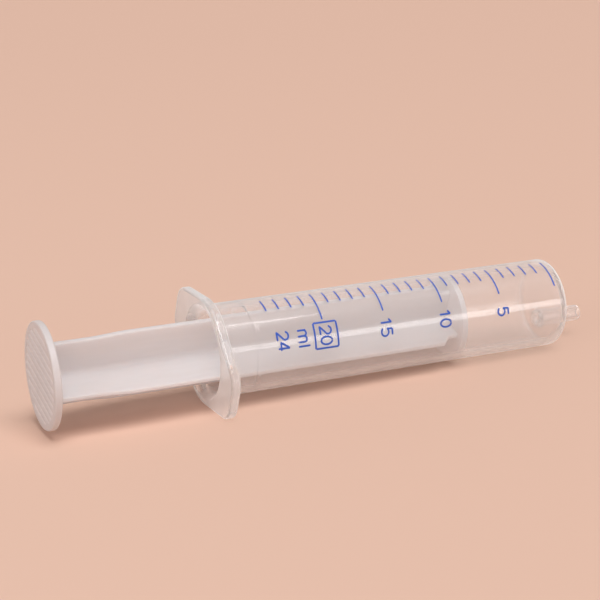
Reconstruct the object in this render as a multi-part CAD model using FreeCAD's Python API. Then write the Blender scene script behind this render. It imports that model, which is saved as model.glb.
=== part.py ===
import FreeCAD, Part
import math
import os

# Two-part slip tip syringe: a clear barrel and a one-piece plunger, both moulded.
# Millimetres. X runs along the barrel towards the nozzle, with X = 0 at the zero mark
# of the volume scale, and the barrel axis is y = z = 0.
# Both pieces are modelled upright, with the wings of the finger flange along Y and the
# nozzle below the axis. They are then rolled together about the axis, so that the part
# lies on one straight side of its flange.

Vector = FreeCAD.Vector

# Barrel
bore_radius = 10.025
barrel_wall = 0.875
front_wall = 1.5
front_face_gap = 1.4            # from the zero mark to the inside of the front wall
front_outer_round = 1.25
front_inner_break = 0.4
scale_capacity_ml = 24
millilitre = 1000.0             # cubic millimetres, which set the spacing of the marks
tail_length = 14.04             # from the last mark of the scale to the open end
mouth_flare = 1.275             # the mouth is this much wider than the bore
mouth_depth = 1.6
bead_height = 0.2               # low ring in the bore that stops the plunger head
bead_width = 0.9
bead_crest_width = 0.4
bead_setback = 10.15            # from the open end to the middle of the bead

# Finger flange, whose reaches are measured from the outside of the barrel
flange_wing_reach = 7.6
flange_side_reach = 2.0
flange_side_cut = 0.06           # the straight sides are cut this deep into the round middle
flange_tip_width = 15.2
flange_corner_radius = 5.3
flange_thickness = 2.3
flange_edge_round = 0.6
flange_root_fillet = 1.0

# Nozzle, a slip cone with the standard 6 % taper, below the barrel axis
nozzle_offset = 5.3
nozzle_length = 11.2
nozzle_tip_radius = 1.92
nozzle_taper = 0.06
nozzle_tip_round = 0.8
nozzle_root_fillet = 0.6
nozzle_bore_radius = 1.0
nozzle_inlet = 0.4

# Plunger head, a thin disc whose rim is the sealing lip
plunger_reading_ml = 7.97       # where the front edge of the lip stands on the scale
head_clearance = 0.03
head_thickness = 1.35
lip_land = 0.6
lip_relief = 0.12               # the back of the lip is this much below its land
lip_edge_break = 0.15
crown_gap = 0.05                # left at the front wall when the lip is on the zero mark
crown_inset = 0.9
crown_flat_radius = 3.4

# Plunger rod, four ribs in a cross
plunger_length = 103.56         # from the front edge of the lip to the thumb face
rib_clearance = 0.325
rib_thickness = 1.2
rib_core_fillet = 0.4
neck_depth = 2.5                # the ribs draw in by this much behind the head
neck_length = 2.2
neck_taper_length = 4.8
tail_depth = 0.55               # the ribs are this much lower near the thumb rest
tail_rib_length = 8.8
tail_taper_length = 9.5

# Thumb rest
thumb_ground_gap = 0.45         # the rest is this much smaller than the flange, and clears the ground
thumb_thickness = 1.7
thumb_edge_break = 0.4
grip_border = 1.5
grip_pitch = 1.1
grip_groove_width = 0.75
grip_groove_depth = 0.3

# Places that follow from the dimensions
barrel_radius = bore_radius + barrel_wall
scale_pitch = millilitre / (math.pi * bore_radius ** 2)
open_end_x = -scale_capacity_ml * scale_pitch - tail_length
flange_front_x = open_end_x + flange_thickness
inner_front_x = front_face_gap
front_x = inner_front_x + front_wall
bead_x = open_end_x + bead_setback
nozzle_tip_x = front_x + nozzle_length
head_x = -plunger_reading_ml * scale_pitch
head_rear_x = head_x - head_thickness
head_radius = bore_radius - head_clearance
crown_x = head_x + front_face_gap - crown_gap
thumb_radius = barrel_radius + flange_side_reach - thumb_ground_gap
thumb_face_x = head_x - plunger_length
thumb_inner_x = thumb_face_x + thumb_thickness
rib_reach = bore_radius - rib_clearance
past_face = 1.0                 # how far a cutting shape stands out of what it cuts


def point(x, radius):
    """A place in the profile plane, at this x and this distance from the axis."""
    return Vector(x, 0, radius)


def line(start, end):
    return Part.LineSegment(start, end).toShape()


def arc(centre, radius, start_way, end_way):
    """The short arc about centre that runs from one direction to the other."""
    start = Vector(start_way).normalize()
    end = Vector(end_way).normalize()
    middle = (start + end).normalize()
    places = [centre + way * radius for way in (start, middle, end)]
    return Part.Arc(*places).toShape()


def blend(start, end):
    """An S curve that leaves start and reaches end along X."""
    halfway = (start.x + end.x) / 2
    curve = Part.BezierCurve()
    curve.setPoles([start, point(halfway, start.z), point(halfway, end.z), end])
    return curve.toShape()


def joined(corners):
    """Straight edges through the corners, in order."""
    return [line(a, b) for a, b in zip(corners, corners[1:])]


def revolved(edges, centre=Vector(0, 0, 0)):
    """The closed profile turned once round an axis along X through centre."""
    face = Part.Face(Part.Wire(Part.__sortEdges__(edges)))
    solid = face.revolve(Vector(0, 0, 0), Vector(1, 0, 0), 360)
    solid.translate(centre)
    return solid


def flange_side_normal():
    """Angle from Y of the normal of a straight side, which is a common tangent
    of the round middle of the flange and of a tip corner."""
    wing = barrel_radius + flange_wing_reach - flange_corner_radius
    corner_offset = flange_tip_width / 2 - flange_corner_radius
    middle_radius = barrel_radius + flange_side_reach
    spacing = math.hypot(wing, corner_offset)
    return math.atan2(corner_offset, wing) + math.acos((middle_radius - flange_corner_radius) / spacing)


def flange():
    """A round middle with two wings. Each side is a tangent of a tip corner and of a circle
    just inside the round middle, so that it stays flat past the middle."""
    middle_radius = barrel_radius + flange_side_reach
    hub_radius = middle_radius + flange_side_cut
    side_overrun = math.sqrt(hub_radius ** 2 - middle_radius ** 2)
    corner_y = barrel_radius + flange_wing_reach - flange_corner_radius
    corner_z = flange_tip_width / 2 - flange_corner_radius
    tilt = flange_side_normal()

    def way(across, up):
        return Vector(0, across * math.cos(tilt), up * math.sin(tilt))

    def side_end(across, up):
        outward = Vector(0, across * math.sin(tilt), -up * math.cos(tilt))
        return way(across, up) * middle_radius - outward * side_overrun

    def corner(across, up):
        return Vector(open_end_x, across * corner_y, up * corner_z)

    edges = []
    hub = Vector(open_end_x, 0, 0)
    for up in (1, -1):
        edges.append(arc(hub, hub_radius, side_end(1, up), side_end(-1, up)))
        for across in (1, -1):
            tangent_in = hub + side_end(across, up)
            tangent_out = corner(across, up) + way(across, up) * flange_corner_radius
            edges.append(line(tangent_in, tangent_out))
            edges.append(arc(corner(across, up), flange_corner_radius, way(across, up), Vector(0, across, 0)))
    for across in (1, -1):
        outward = Vector(0, across * flange_corner_radius, 0)
        edges.append(line(corner(across, 1) + outward, corner(across, -1) + outward))
    outline = Part.Face(Part.Wire(Part.__sortEdges__(edges)))
    plate = outline.extrude(Vector(flange_thickness, 0, 0))
    rims = [edge for edge in plate.Edges if edge.BoundBox.XLength < flange_thickness / 2]
    return plate.makeFillet(flange_edge_round, rims)


def barrel_outside():
    """Tube with a closed front, and the fillet where it leaves the flange."""
    fillet = min(flange_root_fillet, flange_side_reach - flange_edge_round)
    root = point(flange_front_x + fillet, barrel_radius + fillet)
    nose = point(front_x - front_outer_round, barrel_radius - front_outer_round)
    edges = joined([
        point(front_x, nose.z),
        point(front_x, 0),
        point(open_end_x, 0),
        point(open_end_x, barrel_radius),
        point(flange_front_x, barrel_radius),
        point(flange_front_x, root.z),
    ])
    edges.append(arc(root, fillet, Vector(-1, 0, 0), Vector(0, 0, -1)))
    edges.append(line(point(root.x, barrel_radius), point(nose.x, barrel_radius)))
    edges.append(arc(nose, front_outer_round, Vector(0, 0, 1), Vector(1, 0, 0)))
    return revolved(edges)


def barrel_inside():
    """The bore with its flared mouth, the bead and the broken front corner."""
    mouth_radius = bore_radius + mouth_flare
    bead_radius = bore_radius - bead_height
    return revolved(joined([
        point(open_end_x - past_face, 0),
        point(open_end_x - past_face, mouth_radius),
        point(open_end_x, mouth_radius),
        point(open_end_x + mouth_depth, bore_radius),
        point(bead_x - bead_width / 2, bore_radius),
        point(bead_x - bead_crest_width / 2, bead_radius),
        point(bead_x + bead_crest_width / 2, bead_radius),
        point(bead_x + bead_width / 2, bore_radius),
        point(inner_front_x - front_inner_break, bore_radius),
        point(inner_front_x, bore_radius - front_inner_break),
        point(inner_front_x, 0),
        point(open_end_x - past_face, 0),
    ]))


def nozzle_outside():
    """The cone, with a fillet at the front wall and a rounded tip."""
    slope = math.atan(nozzle_taper / 2)
    outward = Vector(math.sin(slope), 0, math.cos(slope))

    def cone_radius(x):
        return nozzle_tip_radius + (nozzle_tip_x - x) * math.tan(slope)

    fillet_x = front_x + nozzle_root_fillet
    root = point(fillet_x, cone_radius(fillet_x) + nozzle_root_fillet / math.cos(slope))
    tip_round = min(nozzle_tip_round, 0.9 * (nozzle_tip_radius - nozzle_bore_radius))
    round_x = nozzle_tip_x - tip_round
    tip = point(round_x, cone_radius(round_x) - tip_round / math.cos(slope))
    edges = joined([
        point(nozzle_tip_x, tip.z),
        point(nozzle_tip_x, 0),
        point(inner_front_x, 0),
        point(inner_front_x, root.z),
        point(front_x, root.z),
    ])
    edges.append(arc(root, nozzle_root_fillet, Vector(-1, 0, 0), -outward))
    edges.append(line(root - outward * nozzle_root_fillet, tip + outward * tip_round))
    edges.append(arc(tip, tip_round, outward, Vector(1, 0, 0)))
    return revolved(edges, Vector(0, 0, -nozzle_offset))


def nozzle_inside():
    """The fluid path, which opens towards the bore as a short funnel."""
    inlet_radius = nozzle_bore_radius + nozzle_inlet
    edges = joined([
        point(inner_front_x - past_face, 0),
        point(inner_front_x - past_face, inlet_radius),
        point(inner_front_x, inlet_radius),
        point(inner_front_x + nozzle_inlet, nozzle_bore_radius),
        point(nozzle_tip_x + past_face, nozzle_bore_radius),
        point(nozzle_tip_x + past_face, 0),
        point(inner_front_x - past_face, 0),
    ])
    return revolved(edges, Vector(0, 0, -nozzle_offset))


def barrel():
    outside = barrel_outside().fuse([flange(), nozzle_outside()])
    return outside.cut(barrel_inside()).cut(nozzle_inside()).removeSplitter()


def plunger_head():
    """The disc with its sealing lip, and the low crown that empties the nozzle end."""
    lip_back_radius = head_radius - lip_relief
    return revolved(joined([
        point(head_rear_x, 0),
        point(head_rear_x, lip_back_radius - lip_edge_break),
        point(head_rear_x + lip_edge_break, lip_back_radius),
        point(head_x - lip_land, head_radius),
        point(head_x - lip_edge_break, head_radius),
        point(head_x, head_radius - lip_edge_break),
        point(head_x, head_radius - crown_inset),
        point(crown_x, crown_flat_radius),
        point(crown_x, 0),
        point(head_rear_x, 0),
    ]))


def rib_pair():
    """Two opposite ribs as one plate, lower near the thumb rest and behind the head."""
    tail_reach = rib_reach - tail_depth
    neck_reach = rib_reach - neck_depth
    tail_start = thumb_inner_x - thumb_thickness / 2
    tail_end = thumb_inner_x + tail_rib_length
    neck_start = head_rear_x - neck_length
    neck_end = head_rear_x + head_thickness / 2
    upper = [
        line(point(tail_start, tail_reach), point(tail_end, tail_reach)),
        blend(point(tail_end, tail_reach), point(tail_end + tail_taper_length, rib_reach)),
        line(point(tail_end + tail_taper_length, rib_reach), point(neck_start - neck_taper_length, rib_reach)),
        blend(point(neck_start - neck_taper_length, rib_reach), point(neck_start, neck_reach)),
        line(point(neck_start, neck_reach), point(neck_end, neck_reach)),
    ]
    lower = [edge.mirror(Vector(0, 0, 0), Vector(0, 0, 1)) for edge in upper]
    ends = [
        line(point(tail_start, -tail_reach), point(tail_start, tail_reach)),
        line(point(neck_end, -neck_reach), point(neck_end, neck_reach)),
    ]
    outline = Part.Face(Part.Wire(Part.__sortEdges__(upper + lower + ends)))
    plate = outline.extrude(Vector(0, rib_thickness, 0))
    plate.translate(Vector(0, -rib_thickness / 2, 0))
    return plate


def plunger_rod():
    """The cross of ribs, with a small fillet along its core."""
    upright = rib_pair()
    level = rib_pair()
    level.rotate(Vector(0, 0, 0), Vector(1, 0, 0), 90)
    cross = upright.fuse(level)
    core = [
        edge for edge in cross.Edges
        if edge.BoundBox.XLength > plunger_length / 2
        and math.hypot(edge.CenterOfMass.y, edge.CenterOfMass.z) < rib_thickness
    ]
    return cross.makeFillet(rib_core_fillet, core)


def thumb_rest():
    """The disc, with straight grip grooves across its outer face inside a plain border."""
    disc = revolved(joined([
        point(thumb_face_x, 0),
        point(thumb_face_x, thumb_radius - thumb_edge_break),
        point(thumb_face_x + thumb_edge_break, thumb_radius),
        point(thumb_inner_x - thumb_edge_break, thumb_radius),
        point(thumb_inner_x, thumb_radius - thumb_edge_break),
        point(thumb_inner_x, 0),
        point(thumb_face_x, 0),
    ]))

    grip_radius = thumb_radius - grip_border
    side_count = int((grip_radius - grip_groove_width / 2) / grip_pitch)
    grooves = []
    for index in range(-side_count, side_count + 1):
        middle = index * grip_pitch
        bottom = Vector(thumb_face_x + grip_groove_depth, -thumb_radius, middle)
        upper_lip = Vector(thumb_face_x, -thumb_radius, middle + grip_groove_width / 2)
        lower_lip = Vector(thumb_face_x, -thumb_radius, middle - grip_groove_width / 2)
        section = Part.Face(Part.Wire(joined([bottom, upper_lip, lower_lip, bottom])))
        grooves.append(section.extrude(Vector(0, 2 * thumb_radius, 0)))
    field = Part.makeCylinder(
        grip_radius, grip_groove_depth, Vector(thumb_face_x, 0, 0), Vector(1, 0, 0))
    return disc.cut(field.common(Part.makeCompound(grooves)))


def plunger():
    return plunger_head().fuse([plunger_rod(), thumb_rest()]).removeSplitter()


# The roll that turns the lower straight side of the near wing flat on the ground
rest_roll = 90 - math.degrees(flange_side_normal())

os.makedirs("parts", exist_ok=True)
for name, shape in {"barrel": barrel(), "plunger": plunger()}.items():
    shape.rotate(Vector(0, 0, 0), Vector(1, 0, 0), rest_roll)
    shape.exportStep(os.path.join("parts", name + ".step"))
    print(name, shape.isValid(), len(shape.Solids), len(shape.Faces), round(shape.Volume, 1), shape.BoundBox)
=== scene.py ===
import math

import bpy
import numpy as np
from mathutils import Matrix, Vector


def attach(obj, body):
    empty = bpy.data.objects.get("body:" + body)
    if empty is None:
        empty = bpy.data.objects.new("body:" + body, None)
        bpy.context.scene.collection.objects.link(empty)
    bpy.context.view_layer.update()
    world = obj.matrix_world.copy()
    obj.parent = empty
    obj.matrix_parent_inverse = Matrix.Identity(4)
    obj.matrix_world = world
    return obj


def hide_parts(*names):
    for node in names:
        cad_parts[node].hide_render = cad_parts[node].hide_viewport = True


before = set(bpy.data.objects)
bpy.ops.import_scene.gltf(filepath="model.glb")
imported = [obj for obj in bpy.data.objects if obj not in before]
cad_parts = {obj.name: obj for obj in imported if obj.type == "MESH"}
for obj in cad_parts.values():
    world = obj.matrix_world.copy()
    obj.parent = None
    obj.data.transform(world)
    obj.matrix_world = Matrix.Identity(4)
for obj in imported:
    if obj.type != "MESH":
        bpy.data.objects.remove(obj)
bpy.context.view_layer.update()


# Camera
# It stands on the thumb side of the syringe and a little above it, and looks along the
# barrel towards the nozzle through a long lens.
mm = 0.001

camera_aim = Vector((-64.91, 0.0, 9.22)) * mm
camera_distance = 397.54 * mm
camera_azimuth = math.radians(-23.88)
camera_elevation = math.radians(14.78)
camera_roll = math.radians(-1.45)

away = Vector((
    math.sin(camera_azimuth) * math.cos(camera_elevation),
    -math.cos(camera_azimuth) * math.cos(camera_elevation),
    math.sin(camera_elevation),
))
camera = bpy.data.objects.new("camera", bpy.data.cameras.new("camera"))
camera.data.sensor_width = 36.0
camera.data.lens = 101.0
camera.data.clip_start = 0.01
camera.data.clip_end = 40.0
camera.matrix_world = (
    Matrix.Translation(camera_aim + away * camera_distance)
    @ away.to_track_quat("Z", "Y").to_matrix().to_4x4()
    @ Matrix.Rotation(camera_roll, 4, "Z")
)
bpy.context.scene.collection.objects.link(camera)
bpy.context.scene.camera = camera
bpy.context.scene.view_settings.view_transform = "Standard"


# Floor
# A wide sheet of pale matt card. The syringe lies on it on a straight side of its flange
# and on the front edge of its barrel, so the card slopes a little against the barrel.
floor_at_flange = -12.9
floor_at_front = -10.9
flange_contact_x = -88.4
front_contact_x = 1.65
floor_gap = 0.02
floor_reach = 5.0
floor_colour = (0.76, 0.50, 0.39, 1.0)

slope = (floor_at_front - floor_at_flange) / (front_contact_x - flange_contact_x)


def floor_grid(count):
    """A flat sheet over a square grid, whose height rises with x by the slope and passes
    just under the two places on which the syringe rests."""
    along = np.linspace(-floor_reach, floor_reach, count)
    x, y = np.meshgrid(along, along, indexing="ij")
    z = (floor_at_flange - floor_gap + slope * (x / mm - flange_contact_x)) * mm
    return np.stack([x, y, z], axis=-1)


def sheet_mesh(name, grid):
    """A mesh over a grid of points, whose faces join each point to the next along both
    of the grid's directions and face up."""
    rows, columns = grid.shape[:2]
    number = np.arange(rows * columns).reshape(rows, columns)
    faces = np.stack([number[:-1, :-1], number[1:, :-1], number[1:, 1:], number[:-1, 1:]], axis=-1)
    mesh = bpy.data.meshes.new(name)
    mesh.from_pydata(grid.reshape(-1, 3).tolist(), [], faces.reshape(-1, 4).tolist())
    return mesh


floor = bpy.data.objects.new("floor", sheet_mesh("floor", floor_grid(9)))
bpy.context.scene.collection.objects.link(floor)

card = bpy.data.materials.new("pale matt card")
card.use_nodes = True
card_shader = card.node_tree.nodes["Principled BSDF"]
card_shader.inputs["Base Color"].default_value = floor_colour
card_shader.inputs["Roughness"].default_value = 0.75
card_shader.inputs["Specular IOR Level"].default_value = 0.2
floor.data.materials.append(card)


# Studio light
# A wide soft light overhead on the camera's side, three softboxes for the bright line along
# the barrel, the glint behind the flange and the face of the thumb rest, and light from all
# round that is stronger near the horizon.
syringe_middle = Vector((-0.055, 0.0, 0.0))
horizon_light = 0.75
least_light = 0.16
backdrop_strength = 0.9

overhead = bpy.data.objects.new("overhead light", bpy.data.lights.new("overhead light", "SUN"))
overhead.data.energy = 2.25
overhead.data.angle = math.radians(38)
overhead.rotation_euler = Vector((0.0, -0.46, 1.0)).to_track_quat("Z", "Y").to_euler()
bpy.context.scene.collection.objects.link(overhead)


def softbox(name, way, distance, width, height, power):
    """A rectangular lamp that looks at the middle of the syringe from the given direction
    and distance, and stands upright."""
    lamp = bpy.data.objects.new(name, bpy.data.lights.new(name, "AREA"))
    lamp.data.shape = "RECTANGLE"
    lamp.data.size = width
    lamp.data.size_y = height
    lamp.data.energy = power
    direction = Vector(way).normalized()
    lamp.location = syringe_middle + direction * distance
    lamp.rotation_euler = direction.to_track_quat("Z", "Y").to_euler()
    bpy.context.scene.collection.objects.link(lamp)


softbox("low front softbox", (0.46, -0.87, 0.16), 1.0, 0.36, 0.22, 1.0)
softbox("small high softbox", (0.316, -0.27, 0.89), 0.9, 0.05, 0.14, 0.15)
softbox("left softbox", (-0.9, -0.3, 0.3), 1.0, 0.4, 0.4, 1.8)


def worked(tree, operation, *terms):
    """One step of arithmetic on plain numbers and the outputs of other nodes."""
    node = tree.nodes.new("ShaderNodeMath")
    node.operation = operation
    for socket, term in zip(node.inputs, terms):
        if isinstance(term, float):
            socket.default_value = term
        else:
            tree.links.new(term, socket)
    return node.outputs[0]


def mixed(tree, share, first, second):
    """Two shaders: the first where the share is 0, the second where it is 1, and both, each
    by its part, in between. The share is a plain number or the output of a node."""
    node = tree.nodes.new("ShaderNodeMixShader")
    if isinstance(share, float):
        node.inputs[0].default_value = share
    else:
        tree.links.new(share, node.inputs[0])
    tree.links.new(first, node.inputs[1])
    tree.links.new(second, node.inputs[2])
    return node.outputs[0]


room = bpy.data.worlds.new("studio")
room.use_nodes = True
bpy.context.scene.world = room
tree = room.node_tree
all_round = tree.nodes["Background"]
all_round.inputs["Color"].default_value = (0.98, 0.99, 1.0, 1.0)

# Strength of the light from all round: least_light + horizon_light * (1 - z) ** 2
way = tree.nodes.new("ShaderNodeTexCoord")
way_parts = tree.nodes.new("ShaderNodeSeparateXYZ")
tree.links.new(way.outputs["Generated"], way_parts.inputs[0])
below_zenith = worked(tree, "SUBTRACT", 1.0, way_parts.outputs["Z"])
squared = worked(tree, "POWER", below_zenith, 2.0)
strength = worked(tree, "MULTIPLY_ADD", squared, horizon_light, least_light)
tree.links.new(strength, all_round.inputs["Strength"])

# Backdrop: what stands behind the floor to the eye, also through the plastic and mirrored
backdrop = tree.nodes.new("ShaderNodeBackground")
backdrop.inputs["Color"].default_value = floor_colour
backdrop.inputs["Strength"].default_value = backdrop_strength
ray = tree.nodes.new("ShaderNodeLightPath")
through = ray.outputs["Is Transmission Ray"]
looked_at = worked(tree, "MAXIMUM", ray.outputs["Is Camera Ray"], through)
seen = worked(tree, "MAXIMUM", looked_at, ray.outputs["Is Glossy Ray"])
surroundings = mixed(tree, seen, all_round.outputs[0], backdrop.outputs[0])
tree.links.new(surroundings, tree.nodes["World Output"].inputs["Surface"])


# Barrel
# One injection moulding in clear, slightly cloudy polypropylene: a straight tube, a finger
# flange with two wings, a closed front wall and a tapered nozzle set below the axis.
bore_radius = 10.025
wall = 0.875
open_end_x = -90.054
front_x = 2.9
front_wall = 1.5
mouth_radius = 11.3
mouth_depth = 1.6
bead_from_end = 10.15
bead_height = 0.18
flange_thickness = 2.3
flange_rim = 0.6
flange_side = 12.9
flange_corner = 5.3
flange_corner_y = 13.19
flange_corner_z = 2.3
nozzle_drop = 5.3
nozzle_length = 11.2
nozzle_tip = 1.92
nozzle_rise = 0.03
nozzle_bore = 1.0
flange_fillet = 1.0
front_round = 1.25
inner_front_round = 0.6
mouth_round = 0.3
mouth_softness = 1.2
nozzle_fillet = 0.6
nozzle_tip_round = 0.8
nozzle_lead_in = 0.4
bead_half_width = 0.75
bead_softness = 1.6
bead_round = 1.2
flange_cloud = 0.5
front_wall_cloud = -0.65
front_corner_cloud = 3.5
nozzle_mouth_cloud = 3.0
barrel_around = 320
edge_directions = 14401
corner_margin = 0.08
longest_step = 3.5

barrel_radius = bore_radius + wall
inner_front_x = front_x - front_wall
bead_x = open_end_x + bead_from_end
bead_radius = bore_radius - bead_height
flange_front_x = open_end_x + flange_thickness
nozzle_tip_x = front_x + nozzle_length
nozzle_root = nozzle_tip + nozzle_rise * nozzle_length


def flange_edge(count):
    """Points an even way apart round the flange, and the direction square to the edge at each.
    The edge is a band stretched round a middle circle and four corner circles: for every
    direction it takes the circle that reaches furthest, and straight sides join them."""
    turn = np.linspace(0, 2 * np.pi, edge_directions)
    square = np.column_stack([np.cos(turn), np.sin(turn)])
    y, z = flange_corner_y, flange_corner_z
    centres = np.array([(0, 0), (y, z), (-y, z), (-y, -z), (y, -z)])
    radii = np.array([flange_side] + [flange_corner] * 4)
    furthest = np.argmax(square @ centres.T + radii, axis=1)
    edge = centres[furthest] + radii[furthest, None] * square
    length = np.concatenate([[0], np.cumsum(np.hypot(*np.diff(edge, axis=0).T))])
    even = np.linspace(0, length[-1], count, endpoint=False)
    points = np.column_stack([np.interp(even, length, edge[:, i]) for i in (0, 1)])
    turned = np.interp(even, length, turn)
    return points, np.column_stack([np.cos(turned), np.sin(turned)])


edge_points, edge_square = flange_edge(barrel_around)
edge_angle = np.arctan2(edge_points[:, 1], edge_points[:, 0])


def profile(corners, steps=7):
    """A line through corners given as (x, radius, rounding). Each corner inside the line is
    replaced by an arc of its rounding that touches both sides. Points stand along every
    straight side, one of them close to each end, so that light turns only in the arcs."""
    corners = np.array(corners, float)
    places = corners[:, :2]
    line = [places[:1]]
    for before, here, after, rounding in zip(places, places[1:], places[2:], corners[1:-1, 2]):
        back = (before - here) / np.linalg.norm(before - here)
        ahead = (after - here) / np.linalg.norm(after - here)
        half = math.acos(np.clip(back @ ahead, -1, 1)) / 2
        reach = rounding / math.tan(half)
        middle = here + (back + ahead) / np.linalg.norm(back + ahead) * rounding / math.sin(half)
        start = here + back * reach - middle
        end = here + ahead * reach - middle
        sweep = math.pi - 2 * half
        share = np.linspace(0, 1, steps)[:, None]
        arc = (np.sin((1 - share) * sweep) * start + np.sin(share * sweep) * end) / math.sin(sweep)
        line.append(middle + arc)
    line.append(places[-1:])
    made = [line[0]]
    for first, second in zip(line, line[1:]):
        a = first[-1]
        b = second[0]
        gap = np.linalg.norm(b - a)
        near = min(corner_margin / max(gap, 1e-6), 0.25)
        inside = max(int(gap / longest_step), 1)
        share = np.concatenate([[near], np.linspace(0, 1, inside + 2)[1:-1], [1 - near]])
        made.append(a + (b - a) * share[:, None])
        made.append(second)
    return np.concatenate(made)


def circles(line, angle, drop=0.0):
    """The rings that a profile of (x, radius) draws when it turns about an axis along x
    that lies lower than the barrel's by drop."""
    x, radius = line[:, 0, None], line[:, 1, None]
    y = radius * np.cos(angle)
    z = radius * np.sin(angle) - drop
    return np.stack(np.broadcast_arrays(x, y, z), axis=-1)


def between(first, last, shares=(0.03, 0.3, 0.6, 0.97)):
    """Rings that pass from one ring to another by straight steps."""
    share = np.array(shares)[:, None, None]
    return first + (last - first) * share


def rim(x, inset):
    """Rings of the flange's edge, moved inwards, square to the edge, by inset."""
    flat = edge_points - edge_square * np.asarray(inset)[:, None, None]
    x = np.broadcast_to(np.asarray(x)[:, None, None], flat.shape[:2] + (1,))
    return np.concatenate([x, flat], axis=-1)


def skin(name, rings, closed=False, poles=None):
    """A closed mesh over a stack of rings with the same number of points. The stack ends in
    itself where closed, and otherwise in the two poles."""
    count, around = rings.shape[:2]
    number = np.arange(count * around).reshape(count, around)
    if closed:
        number = np.vstack([number, number[:1]])
    following = np.roll(number, -1, axis=1)
    quads = np.stack([number[:-1], following[:-1], following[1:], number[1:]], axis=-1)
    points = rings.reshape(-1, 3)
    faces = quads.reshape(-1, 4).tolist()
    if poles is not None:
        points = np.vstack([points, poles])
        first = np.full(around, len(points) - 2)
        last = np.full(around, len(points) - 1)
        faces += np.stack([first, following[0], number[0]], axis=-1).tolist()
        faces += np.stack([last, number[-1], following[-1]], axis=-1).tolist()
    mesh = bpy.data.meshes.new(name)
    mesh.from_pydata((points * mm).tolist(), [], faces)
    mesh.polygons.foreach_set("use_smooth", np.ones(len(faces), bool))
    mesh.update()
    return mesh


def rolled(points, angle):
    """The points turned about the barrel's axis."""
    turn = np.array(Matrix.Rotation(angle, 3, "X"))
    return points @ turn.T


corner_distance = math.hypot(flange_corner_y, flange_corner_z)
corner_turn = math.atan2(flange_corner_z, flange_corner_y)
side_turn = corner_turn + math.acos((flange_side - flange_corner) / corner_distance)
rest_roll = math.pi / 2 - side_turn

# Each profile ends in the middle of a flat face, where straight steps join it to the next
outside = circles(profile([
    (flange_front_x, 12.1, 0),
    (flange_front_x, barrel_radius, flange_fillet),
    (front_x, barrel_radius, front_round),
    (front_x, 8.8, 0),
]), edge_angle)
nozzle = circles(profile([
    (front_x, 3.1, 0),
    (front_x, nozzle_root, nozzle_fillet),
    (nozzle_tip_x, nozzle_tip, nozzle_tip_round),
    (nozzle_tip_x, nozzle_bore, 0.04),
    (inner_front_x + nozzle_lead_in, nozzle_bore, 0.2),
    (inner_front_x, nozzle_bore + nozzle_lead_in, 0.15),
    (inner_front_x, 2.2, 0),
]), edge_angle, nozzle_drop)
inside = circles(profile([
    (inner_front_x, 8.9, 0),
    (inner_front_x, bore_radius, inner_front_round),
    (bead_x + bead_half_width, bore_radius, bead_softness),
    (bead_x, bead_radius, bead_round),
    (bead_x - bead_half_width, bore_radius, bead_softness),
    (open_end_x + mouth_depth, bore_radius, mouth_softness),
    (open_end_x, mouth_radius, mouth_round),
    (open_end_x, 11.75, 0),
]), edge_angle)
quarter = np.radians(np.linspace(0, 90, 9))
from_face = flange_rim * (1 - np.sin(quarter))
from_edge = flange_rim * (1 - np.cos(quarter))
rear_rim = rim(open_end_x + from_face, from_edge)[::-1]
front_rim = rim(flange_front_x - from_face, from_edge)
barrel_rings = np.concatenate([
    outside,
    between(outside[-1], nozzle[0]),
    nozzle,
    between(nozzle[-1], inside[0]),
    inside,
    between(inside[-1], rear_rim[0]),
    rear_rim,
    between(rear_rim[-1], front_rim[0]),
    front_rim,
    between(front_rim[-1], outside[0]),
])
barrel = bpy.data.objects.new("barrel_moulding", skin(
    "barrel_moulding", rolled(barrel_rings, rest_roll), closed=True))
bpy.context.scene.collection.objects.link(barrel)


def cloud_of(points):
    """How cloudy the plastic looks at each point, against 1 for the tube: half as much again
    in the thick flange, most in the front corner and round the nozzle's inner mouth, and less
    in the flat front wall. Each part rises from 0 to 1 within a millimetre."""
    x, y, z = points.reshape(-1, 3).T
    radius = np.hypot(y, z)
    nozzle_radius = np.hypot(y, z + nozzle_drop)
    flange_part = np.clip((flange_front_x + 1.2 - x) / 1.0, 0, 1)
    off_nozzle = np.clip((nozzle_radius - nozzle_root - 0.3) / 0.4, 0, 1)
    past_inner_front = np.clip((x - inner_front_x + 0.1) / 0.1, 0, 1)
    front_part = past_inner_front * np.clip((9.5 - radius) / 0.4, 0, 1) * off_nozzle
    corner_part = np.clip((x - inner_front_x) / 0.6, 0, 1) * np.clip((radius - 9.8) / 0.4, 0, 1)
    mouth_part = np.clip((inner_front_x + 0.7 - x) / 0.3, 0, 1)
    mouth_part *= np.clip((2.1 - nozzle_radius) / 0.3, 0, 1)
    cloud = 1.0 + flange_cloud * flange_part + front_wall_cloud * front_part
    return cloud + front_corner_cloud * corner_part + nozzle_mouth_cloud * mouth_part


cloud_layer = barrel.data.attributes.new("cloud", "FLOAT", "POINT")
cloud_layer.data.foreach_set("value", cloud_of(barrel_rings))


def flow_noise(tree, scale, detail):
    """Noise from 0 to 1 over Object coordinates times a scale for each axis, so that a small
    scale along x draws it out along the moulding."""
    place = tree.nodes.new("ShaderNodeTexCoord")
    stretched = tree.nodes.new("ShaderNodeMapping")
    stretched.inputs["Scale"].default_value = scale
    tree.links.new(place.outputs["Object"], stretched.inputs["Vector"])
    noise = tree.nodes.new("ShaderNodeTexNoise")
    noise.inputs["Scale"].default_value = 1.0
    noise.inputs["Detail"].default_value = detail
    tree.links.new(stretched.outputs["Vector"], noise.inputs["Vector"])
    return noise.outputs["Fac"]


def ranged(tree, share, low, high):
    """low + (high - low) * share."""
    node = tree.nodes.new("ShaderNodeMapRange")
    node.inputs["To Min"].default_value = low
    node.inputs["To Max"].default_value = high
    tree.links.new(share, node.inputs["Value"])
    return node.outputs["Result"]


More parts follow.
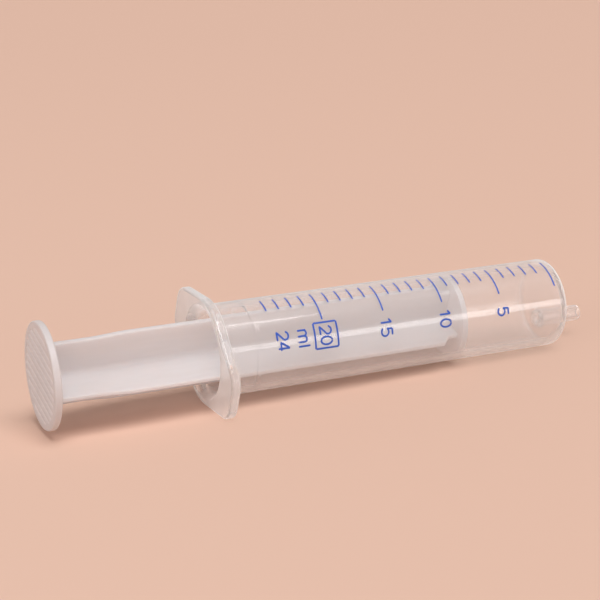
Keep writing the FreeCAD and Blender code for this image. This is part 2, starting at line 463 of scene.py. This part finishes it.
def uneven(tree, share, strength, distance):
    """Normals of a surface raised by distance * share, taken on by the strength."""
    node = tree.nodes.new("ShaderNodeBump")
    node.inputs["Strength"].default_value = strength
    node.inputs["Distance"].default_value = distance
    tree.links.new(share, node.inputs["Height"])
    return node.outputs["Normal"]


def coloured(tree, kind, colour):
    """A shader of the given kind, for which only its colour is set."""
    node = tree.nodes.new(kind)
    node.inputs["Color"].default_value = colour
    return node.outputs[0]


# Clear plastic, mixed with cloud that grows as (steepness ** 2.6 * 0.85 + wisps) * cloud layer
clear = bpy.data.materials.new("clear cloudy plastic")
clear.use_nodes = True
tree = clear.node_tree
plastic = tree.nodes["Principled BSDF"]
plastic.inputs["Base Color"].default_value = (0.97, 0.96, 0.96, 1.0)
plastic.inputs["IOR"].default_value = 1.49
plastic.inputs["Transmission Weight"].default_value = 1.0
flow_lines = flow_noise(tree, (60.0, 260.0, 260.0), 4.0)
tree.links.new(ranged(tree, flow_lines, 0.08, 0.14), plastic.inputs["Roughness"])
tree.links.new(uneven(tree, flow_lines, 0.004, 0.0004), plastic.inputs["Normal"])
cloud_white = (0.94, 0.95, 0.96, 1.0)
cloud_front = coloured(tree, "ShaderNodeBsdfDiffuse", cloud_white)
cloud_behind = coloured(tree, "ShaderNodeBsdfTranslucent", cloud_white)
cloud = mixed(tree, 0.42, cloud_front, cloud_behind)
tilt = tree.nodes.new("ShaderNodeLayerWeight")
tilt.inputs["Blend"].default_value = 0.5
steep = worked(tree, "POWER", tilt.outputs["Facing"], 2.6)
wisps = ranged(tree, flow_lines, 0.08, 0.13)
edge_cloud = worked(tree, "MULTIPLY_ADD", steep, 0.85, wisps)
thickness = tree.nodes.new("ShaderNodeAttribute")
thickness.attribute_name = "cloud"
cloudiness = worked(tree, "MULTIPLY", edge_cloud, thickness.outputs["Fac"])
cloud_share = worked(tree, "MINIMUM", cloudiness, 1.0)
moulded = mixed(tree, cloud_share, plastic.outputs[0], cloud)

# Light from lamps and from other surfaces comes through the wall straight, a little dimmed
dimmed = coloured(tree, "ShaderNodeBsdfTransparent", (0.92, 0.92, 0.92, 1.0))
path = tree.nodes.new("ShaderNodeLightPath")
passing = worked(tree, "MAXIMUM", path.outputs["Is Shadow Ray"], path.outputs["Is Diffuse Ray"])
lit_wall = mixed(tree, passing, moulded, dimmed)
tree.links.new(lit_wall, tree.nodes["Material Output"].inputs["Surface"])
barrel.data.materials.append(clear)
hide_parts("barrel")
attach(barrel, "barrel")


# Plunger rod with its head
# One moulding in milky polypropylene: four ribs in a cross, drawn in behind a thin head
# whose rim wipes the bore, with a low crown in front.
head_x = -25.243
head_thickness = 1.35
lip_clearance = 0.03
lip_length = 0.6
lip_width = 0.9
lip_draft = 0.12
crown_height = 1.35
crown_radius = 3.4
crown_round = 1.5
thumb_inner_x = -127.103
rib_reach = 9.7
rib_half = 0.6
rib_round = 0.35
side_margin = 0.1
side_outer_end = 9.0
core_fillet = 1.2
neck_reach = 7.7
neck_length = 2.0
neck_taper = 2.8
tail_reach = 9.15
tail_length = 8.8
tail_taper = 9.5

head_rear_x = head_x - head_thickness
head_radius = bore_radius - lip_clearance
crown_x = head_x + crown_height


def cross_section(reach):
    """Rings of the cross, one for each reach. A quarter runs along one rib's rounded edge and
    side, round the fillet at the core, and out along the next rib; the other three are the
    same quarter turned. Points on a side stand where even steps of angle from the axis fall."""
    reach = np.asarray(reach)[:, None]
    core = rib_half + core_fillet
    swing = np.radians(np.linspace(0, 90, 7))[None]
    edge_y = reach - rib_round + rib_round * np.cos(swing)
    edge_z = np.broadcast_to(rib_half - rib_round + rib_round * np.sin(swing), edge_y.shape)
    lean = np.linspace(math.atan2(rib_half, side_outer_end), math.atan2(rib_half, core), 13)[1:]
    share = (rib_half / np.tan(lean) - core) / (rib_half / math.tan(lean[0]) - core)
    side_y = core + (reach - rib_round - side_margin - core) * np.minimum(share, 1)[None]
    side_z = np.full(side_y.shape, rib_half)
    turn = np.radians(np.linspace(270, 225, 7))[1:][None]
    fillet_y = np.broadcast_to(core + core_fillet * np.cos(turn), (len(reach), 6))
    fillet_z = np.broadcast_to(core + core_fillet * np.sin(turn), (len(reach), 6))
    y = np.hstack([edge_y, side_y, fillet_y])
    z = np.hstack([edge_z, side_z, fillet_z])
    eighth = np.stack([y, z], axis=-1)
    mirrored_back = eighth[:, -2:0:-1, ::-1]
    quarter_turn = np.concatenate([eighth, mirrored_back], axis=1)
    turned = []
    for step in range(4):
        turned.append(quarter_turn)
        quarter_turn = np.stack([-quarter_turn[..., 1], quarter_turn[..., 0]], axis=-1)
    return np.concatenate(turned, axis=1)


def blended(x, start, end, low, high):
    """A height that leaves low at start and reaches high at end along a smooth S."""
    share = np.clip((x - start) / (end - start), 0, 1)
    return low + (high - low) * share * share * (3 - 2 * share)


tail_end = thumb_inner_x + tail_length
neck_start = head_rear_x - neck_length
rod_x = np.concatenate([
    [thumb_inner_x - 0.6, thumb_inner_x, thumb_inner_x + 0.3],
    np.linspace(thumb_inner_x + 1, tail_end, 5),
    np.linspace(tail_end, tail_end + tail_taper, 17)[1:],
    np.linspace(tail_end + tail_taper, neck_start - neck_taper, 30)[1:],
    np.linspace(neck_start - neck_taper, neck_start, 25)[1:],
    [neck_start + 0.8, head_rear_x - 0.3, head_rear_x],
])
rod_reach = blended(rod_x, tail_end, tail_end + tail_taper, tail_reach, rib_reach)
rod_reach += blended(rod_x, neck_start - neck_taper, neck_start, 0.0, neck_reach - rib_reach)
ribs = cross_section(rod_reach)
rib_x = np.broadcast_to(rod_x[:, None, None], ribs.shape[:2] + (1,))
rod_rings = np.concatenate([rib_x, ribs], axis=-1)
rod_angle = np.arctan2(ribs[-1, :, 1], ribs[-1, :, 0])
head = circles(profile([
    (head_rear_x, 8.6, 0),
    (head_rear_x, head_radius - lip_draft, 0.2),
    (head_x - lip_length, head_radius, 0.6),
    (head_x, head_radius, 0.15),
    (head_x, head_radius - lip_width, 0.3),
    (crown_x, crown_radius, crown_round),
    (crown_x, 0.4, 0),
]), rod_angle)
plunger_rings = np.concatenate([rod_rings, between(rod_rings[-1], head[0]), head])
plunger_poles = np.array([(rod_x[0], 0, 0), (crown_x, 0, 0)])
plunger = bpy.data.objects.new("plunger_rod", skin(
    "plunger_rod", rolled(plunger_rings, rest_roll), poles=rolled(plunger_poles, rest_roll)))
bpy.context.scene.collection.objects.link(plunger)


def milky_plastic(name, scattering, through):
    """The plunger's material: a satin body in which light scatters by a weight, and which
    glows by a share with light from behind. A small part of it is clear, more in some of
    the lines in which the plastic flowed."""
    material = bpy.data.materials.new(name)
    material.use_nodes = True
    tree = material.node_tree
    body = tree.nodes["Principled BSDF"]
    body.inputs["Base Color"].default_value = (0.78, 0.785, 0.80, 1.0)
    body.inputs["IOR"].default_value = 1.49
    body.inputs["Subsurface Weight"].default_value = scattering
    body.inputs["Subsurface Radius"].default_value = (1.0, 0.85, 0.8)
    body.inputs["Subsurface Scale"].default_value = 0.0025
    draw_lines = flow_noise(tree, (90.0, 700.0, 700.0), 5.0)
    tree.links.new(ranged(tree, draw_lines, 0.28, 0.46), body.inputs["Roughness"])
    tree.links.new(uneven(tree, draw_lines, 0.06, 0.0003), body.inputs["Normal"])
    glow = coloured(tree, "ShaderNodeBsdfTranslucent", (0.94, 0.945, 0.97, 1.0))
    lit_through = mixed(tree, through, body.outputs[0], glow)
    see_through = coloured(tree, "ShaderNodeBsdfTransparent", (1.0, 1.0, 1.0, 1.0))
    milk = ranged(tree, draw_lines, 0.88, 0.95)
    surface = mixed(tree, milk, see_through, lit_through)
    tree.links.new(surface, tree.nodes["Material Output"].inputs["Surface"])
    return material


plunger.data.materials.append(milky_plastic("milky plastic", 0.8, 0.46))
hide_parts("plunger")
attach(plunger, "plunger")


# Thumb rest
# The round plate at the end of the rod, part of the same moulding. Straight grip grooves
# run across its outer face inside a plain border.
thumb_radius = 12.45
thumb_thickness = 1.7
thumb_round = 0.4
grip_border = 1.5
border_fade = 0.12
grip_pitch = 1.98
grip_lean = math.radians(-9.7)
groove_width = 1.3
groove_depth = 0.3
thumb_around = 720
face_count = 100

thumb_face_x = thumb_inner_x - thumb_thickness
grip_radius = thumb_radius - grip_border


def grip_depth(y, z):
    """How far the face is sunk at each place: rounded troughs a pitch apart, which lean by
    grip_lean from the flange's long side and fade out at the border's circle."""
    across = z * math.cos(grip_lean) - y * math.sin(grip_lean)
    off_middle = np.abs(across - grip_pitch * np.round(across / grip_pitch))
    trough = np.clip(1 - off_middle / (groove_width / 2), 0, 1)
    inside_border = np.clip((grip_radius - np.hypot(y, z)) / border_fade, 0, 1)
    return groove_depth * trough * trough * (3 - 2 * trough) * inside_border


thumb_angle = np.linspace(0, 2 * np.pi, thumb_around, endpoint=False)
face_radius = np.linspace(0.12, grip_radius + 0.1, face_count)
face_line = np.column_stack([np.full(face_count, thumb_face_x), face_radius])
face_rings = circles(face_line, thumb_angle)
face_cut = grip_depth(face_rings[..., 1], face_rings[..., 2])
face_rings[..., 0] += face_cut
edge_rings = circles(profile([
    (thumb_face_x, grip_radius + 0.2, 0),
    (thumb_face_x, thumb_radius, thumb_round),
    (thumb_inner_x, thumb_radius, thumb_round),
    (thumb_inner_x, 0.5, 0),
]), thumb_angle)
thumb_rings = np.concatenate([face_rings, edge_rings])
thumb_poles = np.array([(thumb_face_x + groove_depth, 0, 0), (thumb_inner_x, 0, 0)])
thumb = bpy.data.objects.new("thumb_rest", skin(
    "thumb_rest", rolled(thumb_rings, rest_roll), poles=rolled(thumb_poles, rest_roll)))
bpy.context.scene.collection.objects.link(thumb)
cut_share = np.zeros(len(thumb.data.vertices))
cut_share[:face_cut.size] = face_cut.ravel() / groove_depth
cut_layer = thumb.data.attributes.new("cut", "FLOAT", "POINT")
cut_layer.data.foreach_set("value", cut_share)


def between_colours(tree, share, first, second):
    """first + (second - first) * share, for each part of a colour."""
    node = tree.nodes.new("ShaderNodeMix")
    node.data_type = "RGBA"
    node.inputs["A"].default_value = first
    node.inputs["B"].default_value = second
    tree.links.new(share, node.inputs["Factor"])
    return node.outputs["Result"]


# Painted light: the grooves are coloured lighter than the flat face, standing in for the light
# that comes through the thinner plastic there
grip = milky_plastic("milky plastic of the grip", 0.0, 0.22)
tree = grip.node_tree
cut = tree.nodes.new("ShaderNodeAttribute")
cut.attribute_name = "cut"
grip_face_colour = (0.71, 0.67, 0.67, 1.0)
# Painted light: the lighter colour given to the grooves
painted_groove_light_colour = (0.93, 0.88, 0.87, 1.0)
groove_colour_with_painted_light = between_colours(tree, cut.outputs["Fac"], grip_face_colour, painted_groove_light_colour)
tree.links.new(groove_colour_with_painted_light, tree.nodes["Principled BSDF"].inputs["Base Color"])
thumb.data.materials.append(grip)
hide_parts("plunger")
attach(thumb, "plunger")


# Printed scale
# Blue ink, pad-printed on the outside of the barrel: a mark for each millilitre, longer at
# each fifth, plain numbers that are read with the nozzle up, and a box round the 20.
ink_height = 0.02
ink_width = 0.46
mark_width = 0.40
mark_top = 81.25
short_end = 58.84
long_end = 35.82
mark_count = 25
ink_step = 0.12

cubic_mm_per_ml = 1000
mark_spacing = cubic_mm_per_ml / (math.pi * bore_radius ** 2)


def ink_stroke(along, across, thick=ink_width):
    """A round-ended stroke of ink through places given as x along the barrel and arc length
    round it. The cross-section is a low dome over a flat base in the wall, and its width
    closes as a half circle at both ends."""
    length = np.concatenate([[0], np.cumsum(np.hypot(np.diff(along), np.diff(across)))])
    half = thick / 2
    ends = half * (1 - np.cos(np.linspace(0, np.pi / 2, 6)))
    middle = np.linspace(half, length[-1] - half, max(int(length[-1] / ink_step), 2))
    place = np.concatenate([ends[1:-1], middle, length[-1] - ends[-2:0:-1]])
    x = np.interp(place, length, along)
    s = np.interp(place, length, across)
    way = np.column_stack([np.gradient(x, place), np.gradient(s, place)])
    way /= np.linalg.norm(way, axis=1)[:, None]
    from_end = np.minimum(place, length[-1] - place)
    width = np.sqrt(np.clip(half ** 2 - np.clip(half - from_end, 0, half) ** 2, 0, None))
    swing = np.radians(np.array([0, 30, 60, 90, 120, 150, 180, 225, 270, 315]))
    side = np.cos(swing)
    lift = np.where(np.sin(swing) > 0, np.sin(swing), -0.3) * ink_height
    offset = side[None] * width[:, None]
    ring_x = x[:, None] - way[:, 1, None] * offset
    ring_s = s[:, None] + way[:, 0, None] * offset
    ring_lift = np.broadcast_to(lift, offset.shape) * np.sqrt(np.clip(width / half, 0, 1))[:, None]
    rings = np.stack([ring_x, ring_s, ring_lift], axis=-1)
    tips = np.array([(along[0], across[0], 0), (along[-1], across[-1], 0)])
    return wrapped(rings), wrapped(tips)


def wrapped(places):
    """Flat places (x, arc length, height) laid round the barrel, whose arc length runs up
    the near side from the level of the axis."""
    x, s, lift = np.moveaxis(places, -1, 0)
    angle = s / barrel_radius
    radius = barrel_radius + lift
    return np.stack([x, -radius * np.cos(angle), radius * np.sin(angle)], axis=-1)


def arc_line(centre, radii, start, end):
    """Points along part of an ellipse, from one angle to the other in degrees, measured from
    the reading direction towards the top of the letters."""
    turn = np.radians(np.linspace(start, end, 25))
    across = centre[0] + radii[0] * np.cos(turn)
    up = centre[1] + radii[1] * np.sin(turn)
    return np.column_stack([across, up])


# Strokes of each character, as (reading direction, height) in millimetres from its middle
half_height = 1.40
glyphs = {
    "0": [arc_line((0, 0), (0.92, half_height), 90, 450)],
    "1": [np.array([(-0.72, 0.72), (0.12, half_height), (0.12, -half_height)])],
    "2": [np.vstack([
        arc_line((0, 0.55), (0.93, 0.85), 170, -28),
        [(-0.95, -half_height), (1.02, -half_height)],
    ])],
    "4": [np.array([(0.45, -half_height), (0.45, half_height), (-0.98, -0.62), (1.0, -0.62)])],
    "5": [np.vstack([
        [(0.84, half_height), (-0.68, half_height), (-0.80, 0.10)],
        arc_line((-0.04, -0.48), (1.0, 0.92), 128, -150),
    ])],
    "m": [
        np.array([(-1.36, -half_height), (-1.36, 0.8)]),
        np.vstack([arc_line((-0.68, 0.1), (0.68, 0.70), 180, 0), [(0.0, -half_height)]]),
        np.vstack([arc_line((0.68, 0.1), (0.68, 0.70), 180, 0), [(1.36, -half_height)]]),
    ],
    "l": [np.array([(0.0, -half_height), (0.0, 1.54)])],
}

# Each character with the place of its middle, as x along the barrel and arc length round it
characters = [
    ("5", -15.7, 2.42),
    ("1", -31.62, 3.95), ("0", -31.62, 1.66),
    ("1", -47.44, 4.05), ("5", -47.44, 1.66),
    ("2", -63.10, 4.21), ("0", -63.10, 1.79),
    ("m", -68.85, 3.59), ("l", -68.85, 1.24),
    ("2", -73.96, 4.27), ("4", -73.96, 1.83),
]
box_corners = [(-65.95, 0.05), (-60.15, 0.05), (-60.15, 6.13), (-65.95, 6.13)]

strokes = []
for mark in range(mark_count):
    end = long_end if mark % 5 == 0 else short_end
    run = np.radians(np.linspace(mark_top, end, 40)) * barrel_radius
    place = np.full(40, -mark_spacing * mark)
    strokes.append(ink_stroke(place, run, mark_width))
for character, x, s in characters:
    for line in glyphs[character]:
        strokes.append(ink_stroke(x + line[:, 1], s - line[:, 0]))
for first, second in zip(box_corners, box_corners[1:] + box_corners[:1]):
    strokes.append(ink_stroke(*np.array([first, second]).T))


def ink_mesh(name, parts):
    """One mesh of many strokes. Each stroke is a stack of rings that ends in its two tips."""
    points = []
    faces = []
    start = 0
    for rings, tips in parts:
        count, around = rings.shape[:2]
        number = start + np.arange(count * around).reshape(count, around)
        following = np.roll(number, -1, axis=1)
        quads = np.stack([number[:-1], following[:-1], following[1:], number[1:]], axis=-1)
        faces += quads.reshape(-1, 4).tolist()
        first = np.full(around, start + count * around)
        faces += np.stack([first, following[0], number[0]], axis=-1).tolist()
        faces += np.stack([first + 1, number[-1], following[-1]], axis=-1).tolist()
        points += [rings.reshape(-1, 3), tips]
        start += count * around + 2
    mesh = bpy.data.meshes.new(name)
    mesh.from_pydata((np.vstack(points) * mm).tolist(), [], faces)
    mesh.polygons.foreach_set("use_smooth", np.ones(len(faces), bool))
    mesh.update()
    return mesh


scale = bpy.data.objects.new("printed_scale", ink_mesh("printed_scale", strokes))
bpy.context.scene.collection.objects.link(scale)
ink = bpy.data.materials.new("blue ink")
ink.use_nodes = True
tree = ink.node_tree
ink_shader = tree.nodes["Principled BSDF"]
ink_shader.inputs["IOR"].default_value = 1.45
print_grain = flow_noise(tree, (5200.0, 5200.0, 5200.0), 3.0)
ink_blue = between_colours(tree, print_grain, (0.014, 0.065, 0.38, 1.0), (0.030, 0.115, 0.54, 1.0))
tree.links.new(ink_blue, ink_shader.inputs["Base Color"])
tree.links.new(ranged(tree, print_grain, 0.3, 0.55), ink_shader.inputs["Roughness"])
scale.data.materials.append(ink)
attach(scale, "barrel")
